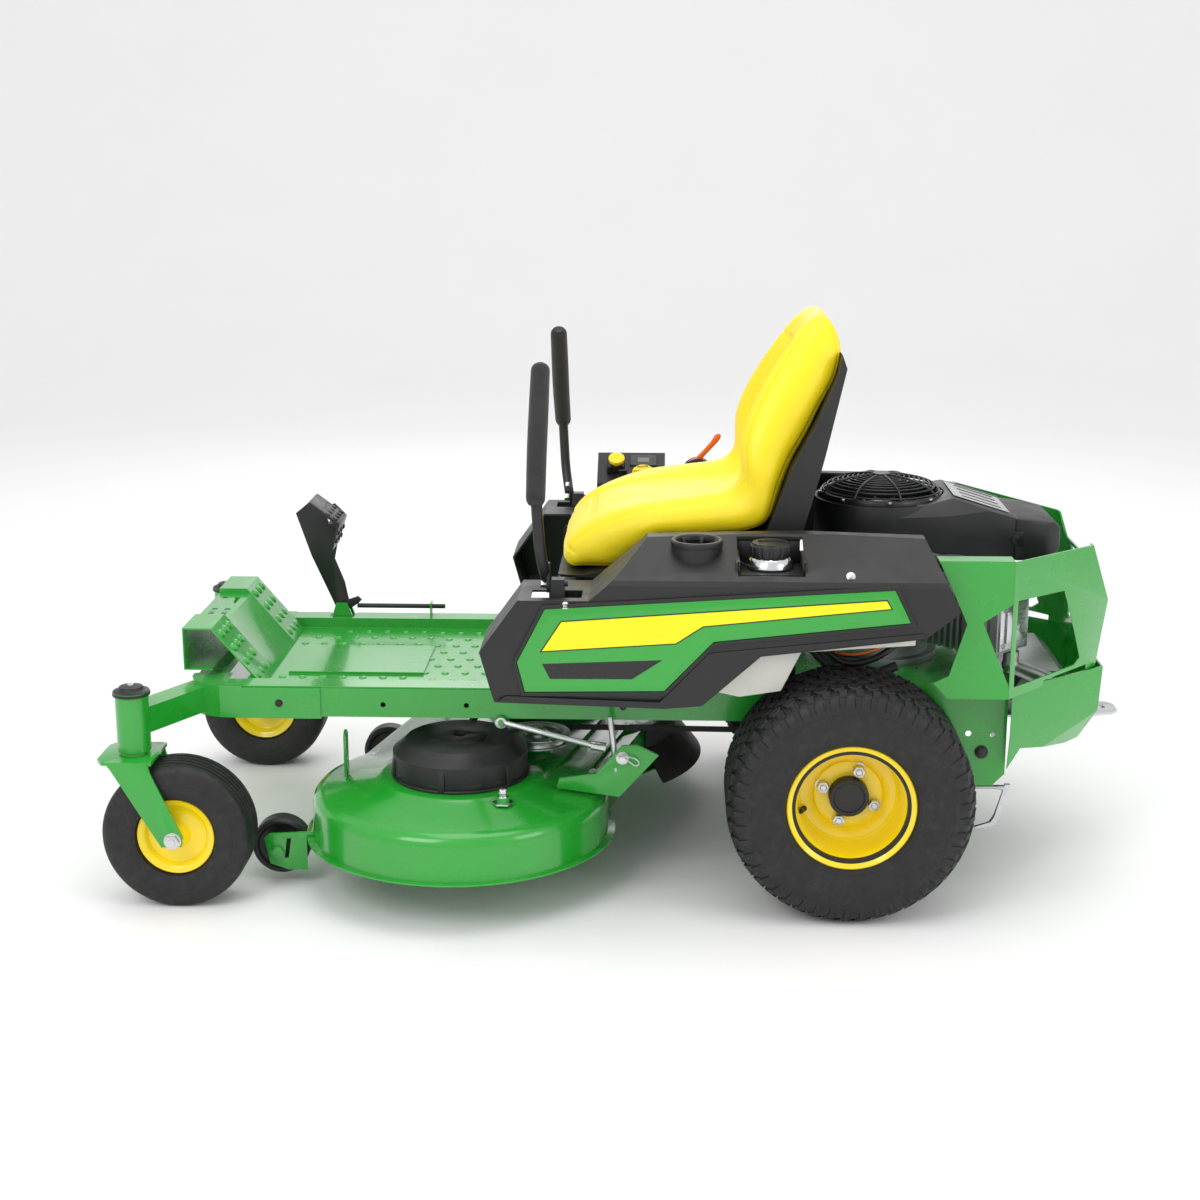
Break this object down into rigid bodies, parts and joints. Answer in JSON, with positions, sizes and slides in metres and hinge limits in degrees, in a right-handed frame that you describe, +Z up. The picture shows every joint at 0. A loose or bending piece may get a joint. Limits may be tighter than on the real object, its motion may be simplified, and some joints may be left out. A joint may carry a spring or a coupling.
{
  "type": "riding lawn mower",
  "caption": "Riding lawn mower with zero-turn levers, a rear engine, a lifting belly deck with belt-driven blades, front casters and a tipping seat.",
  "frame": {"origin": "on the ground, on the centre line, directly under the drive axle", "axes": "+X forward, +Y to the operator's left, +Z up"},
  "size_m": [1.9697, 1.3419, 1.094],
  "materials": {
    "frame_rails": "gloss",
    "front_frame": "gloss",
    "floor_pan": "gloss",
    "foot_rest": "gloss",
    "rear_panels": "gloss",
    "rear_bumper": "gloss",
    "side_panels": "gloss",
    "deck_shell": "gloss",
    "hitch_plate": "satin",
    "fender_left": "satin",
    "fender_right": "satin",
    "console": "satin",
    "fuel_tank": "satin",
    "seat_support": "satin",
    "engine_block": "satin",
    "blower_housing": "satin",
    "fan_guard": "satin",
    "air_filter_cover": "satin",
    "exhaust": "satin",
    "transaxles": "satin",
    "fuel_cap": "satin",
    "bypass_rod_left": "satin",
    "bypass_rod_right": "satin",
    "height_dial": "satin",
    "pto_knob": "satin",
    "throttle_lever": "satin",
    "ignition_key": "satin",
    "seat_pad": "satin",
    "seat_shell": "satin",
    "seat_slider": "satin",
    "lever_yoke_left": "satin",
    "lever_yoke_right": "satin",
    "lever_left": "matte",
    "lever_right": "matte",
    "lift_pedal": "satin",
    "pedal_rod": "satin",
    "draft_rods": "satin",
    "belt_covers": "satin",
    "deck_hardware": "gloss",
    "rear_deflector": "matte",
    "discharge_chute": "satin",
    "spindle_left": "satin",
    "spindle_right": "satin",
    "idler_pulley": "satin",
    "crankshaft": "satin",
    "deck_belt": "matte",
    "gauge_wheel_left": "satin",
    "gauge_wheel_right": "satin",
    "drive_tyre_left": "matte",
    "drive_tyre_right": "matte",
    "caster_tyre_left": "matte",
    "caster_tyre_right": "matte",
    "drive_rim_left": "gloss",
    "drive_rim_right": "gloss",
    "caster_rim_left": "gloss",
    "caster_rim_right": "gloss",
    "caster_fork_left": "gloss",
    "caster_fork_right": "gloss"
  },
  "bodies": {
    "chassis": {"frame_rails": "frame_rails", "front_frame": "front_frame", "floor_pan": "floor_pan", "foot_rest": "foot_rest", "rear_panels": "rear_panels", "rear_bumper": "rear_bumper", "hitch_plate": "hitch_plate", "fender_left": "fender_left", "fender_right": "fender_right", "side_panels": "side_panels", "console": "console", "fuel_tank": "fuel_tank", "seat_support": "seat_support", "engine_block": "engine_block", "blower_housing": "blower_housing", "fan_guard": "fan_guard", "air_filter_cover": "air_filter_cover", "exhaust": "exhaust", "transaxles": "transaxles"},
    "drive_wheel_left": {"drive_tyre_left": "drive_tyre_left", "drive_rim_left": "drive_rim_left"},
    "drive_wheel_right": {"drive_tyre_right": "drive_tyre_right", "drive_rim_right": "drive_rim_right"},
    "caster_fork_left": {"caster_fork_left": "caster_fork_left"},
    "caster_fork_right": {"caster_fork_right": "caster_fork_right"},
    "caster_wheel_left": {"caster_tyre_left": "caster_tyre_left", "caster_rim_left": "caster_rim_left"},
    "caster_wheel_right": {"caster_tyre_right": "caster_tyre_right", "caster_rim_right": "caster_rim_right"},
    "deck": {"deck_shell": "deck_shell", "belt_covers": "belt_covers", "deck_hardware": "deck_hardware", "rear_deflector": "rear_deflector", "deck_belt": "deck_belt"},
    "chute": {"discharge_chute": "discharge_chute"},
    "spindle_left": {"spindle_left": "spindle_left"},
    "spindle_right": {"spindle_right": "spindle_right"},
    "idler": {"idler_pulley": "idler_pulley"},
    "crankshaft": {"crankshaft": "crankshaft"},
    "gauge_wheel_left": {"gauge_wheel_left": "gauge_wheel_left"},
    "gauge_wheel_right": {"gauge_wheel_right": "gauge_wheel_right"},
    "seat_base": {"seat_slider": "seat_slider"},
    "seat": {"seat_pad": "seat_pad", "seat_shell": "seat_shell"},
    "yoke_left": {"lever_yoke_left": "lever_yoke_left"},
    "yoke_right": {"lever_yoke_right": "lever_yoke_right"},
    "lever_left": {"lever_left": "lever_left"},
    "lever_right": {"lever_right": "lever_right"},
    "lift_pedal": {"lift_pedal": "lift_pedal"},
    "pedal_rod": {"pedal_rod": "pedal_rod"},
    "draft_rods": {"draft_rods": "draft_rods"},
    "fuel_cap": {"fuel_cap": "fuel_cap"},
    "height_dial": {"height_dial": "height_dial"},
    "pto_knob": {"pto_knob": "pto_knob"},
    "throttle_lever": {"throttle_lever": "throttle_lever"},
    "ignition_key": {"ignition_key": "ignition_key"},
    "bypass_rod_left": {"bypass_rod_left": "bypass_rod_left"},
    "bypass_rod_right": {"bypass_rod_right": "bypass_rod_right"}
  },
  "joints": [
    {"name": "drive_wheel_spin_left", "type": "hinge", "parent": "chassis", "child": "drive_wheel_left", "pos_m": [0, 0.394, 0.2285], "axis": [0, 1, 0], "continuous": true},
    {"name": "caster_swivel_left", "type": "hinge", "parent": "chassis", "child": "caster_fork_left", "pos_m": [1.33, 0.4, 0.3], "axis": [0, 0, 1], "continuous": true},
    {"name": "caster_spin_left", "type": "hinge", "parent": "caster_fork_left", "child": "caster_wheel_left", "pos_m": [1.252, 0.4, 0.1397], "axis": [0, 1, 0], "continuous": true},
    {"name": "drive_wheel_spin_right", "type": "hinge", "parent": "chassis", "child": "drive_wheel_right", "pos_m": [0, -0.394, 0.2285], "axis": [0, 1, 0], "continuous": true},
    {"name": "caster_swivel_right", "type": "hinge", "parent": "chassis", "child": "caster_fork_right", "pos_m": [1.33, -0.4, 0.3], "axis": [0, 0, 1], "continuous": true},
    {"name": "caster_spin_right", "type": "hinge", "parent": "caster_fork_right", "child": "caster_wheel_right", "pos_m": [1.252, -0.4, 0.1397], "axis": [0, 1, 0], "continuous": true},
    {"name": "deck_lift", "type": "slide", "parent": "chassis", "child": "deck", "axis": [0, 0, 1], "range_m": [0, 0.016], "deforming": ["deck_belt"]},
    {"name": "chute_hinge", "type": "hinge", "parent": "deck", "child": "chute", "pos_m": [0.605, -0.56, 0.194], "axis": [-1, 0, 0], "range_deg": [0, 80]},
    {"name": "crankshaft_spin", "type": "hinge", "parent": "chassis", "child": "crankshaft", "pos_m": [-0.085, 0, 0.3], "axis": [0, 0, 1], "continuous": true},
    {"name": "spindle_spin_left", "type": "hinge", "parent": "deck", "child": "spindle_left", "pos_m": [0.735, 0.262, 0.2], "axis": [0, 0, 1], "continuous": true},
    {"name": "spindle_spin_right", "type": "hinge", "parent": "deck", "child": "spindle_right", "pos_m": [0.605, -0.262, 0.2], "axis": [0, 0, 1], "continuous": true},
    {"name": "idler_spin", "type": "hinge", "parent": "deck", "child": "idler", "pos_m": [0.598, 0.112, 0.236], "axis": [0, 0, 1], "continuous": true},
    {"name": "gauge_wheel_spin_left", "type": "hinge", "parent": "deck", "child": "gauge_wheel_left", "pos_m": [1.084, 0.285, 0.07], "axis": [0, 1, 0], "continuous": true},
    {"name": "gauge_wheel_spin_right", "type": "hinge", "parent": "deck", "child": "gauge_wheel_right", "pos_m": [0.954, -0.285, 0.07], "axis": [0, 1, 0], "continuous": true},
    {"name": "seat_tilt", "type": "hinge", "parent": "chassis", "child": "seat_base", "pos_m": [0.507, 0, 0.569], "axis": [0, 1, 0], "range_deg": [0, 45]},
    {"name": "seat_slide", "type": "slide", "parent": "seat_base", "child": "seat", "axis": [1, 0, 0], "range_m": [-0.02, 0.04]},
    {"name": "drive_lever_left", "type": "hinge", "parent": "chassis", "child": "yoke_left", "pos_m": [0.538, 0.402, 0.575], "axis": [0, 1, 0], "range_deg": [-14, 14]},
    {"name": "lever_swing_left", "type": "hinge", "parent": "yoke_left", "child": "lever_left", "pos_m": [0.556, 0.402, 0.624], "axis": [1, 0, 0], "range_deg": [-32, 0]},
    {"name": "drive_lever_right", "type": "hinge", "parent": "chassis", "child": "yoke_right", "pos_m": [0.538, -0.402, 0.575], "axis": [0, 1, 0], "range_deg": [-14, 14]},
    {"name": "lever_swing_right", "type": "hinge", "parent": "yoke_right", "child": "lever_right", "pos_m": [0.556, -0.402, 0.624], "axis": [-1, 0, 0], "range_deg": [-32, 0]},
    {"name": "pedal_turn", "type": "hinge", "parent": "chassis", "child": "lift_pedal", "pos_m": [1.045, -0.262, 0.405], "axis": [0, 1, 0], "range_deg": [0, 25.1]},
    {"name": "pedal_rod_slide", "type": "slide", "parent": "chassis", "child": "pedal_rod", "axis": [1, 0, 0], "range_m": [0, 0.0101]},
    {"name": "draft_rod_turn", "type": "hinge", "parent": "chassis", "child": "draft_rods", "pos_m": [0.653, 0, 0.322], "axis": [0, 1, 0], "range_deg": [0, 4.7]},
    {"name": "fuel_cap_turn", "type": "hinge", "parent": "chassis", "child": "fuel_cap", "pos_m": [0.152, 0.368, 0.68], "axis": [0, 0, 1], "range_deg": [0, 180]},
    {"name": "height_dial_turn", "type": "hinge", "parent": "chassis", "child": "height_dial", "pos_m": [0.392, -0.33996, 0.68649], "axis": [0, 0.5174, 0.8557], "range_deg": [-120, 120]},
    {"name": "pto_pull", "type": "slide", "parent": "chassis", "child": "pto_knob", "axis": [0, 0.5174, 0.8557], "range_m": [0, 0.012]},
    {"name": "key_turn", "type": "hinge", "parent": "chassis", "child": "ignition_key", "pos_m": [0.436, -0.32969, 0.68028], "axis": [0, 0.5174, 0.8557], "range_deg": [0, 60]},
    {"name": "throttle_turn", "type": "hinge", "parent": "chassis", "child": "throttle_lever", "pos_m": [0.275, -0.32, 0.7], "axis": [0, 1, 0], "range_deg": [-20, 30]},
    {"name": "bypass_pull_left", "type": "slide", "parent": "chassis", "child": "bypass_rod_left", "axis": [1, 0, 0], "range_m": [-0.02, 0]},
    {"name": "bypass_pull_right", "type": "slide", "parent": "chassis", "child": "bypass_rod_right", "axis": [1, 0, 0], "range_m": [-0.02, 0]}
  ],
  "couplings": [
    {"joint": "spindle_spin_left", "follows": "crankshaft_spin", "ratio": 0.9677},
    {"joint": "spindle_spin_right", "follows": "crankshaft_spin", "ratio": 0.9677},
    {"joint": "idler_spin", "follows": "crankshaft_spin", "ratio": -0.9288},
    {"joint": "pedal_turn", "follows": "deck_lift", "rad_per_m": 27.3},
    {"joint": "pedal_rod_slide", "follows": "deck_lift", "ratio": 0.63},
    {"joint": "draft_rod_turn", "follows": "deck_lift", "rad_per_m": 5}
  ]
}
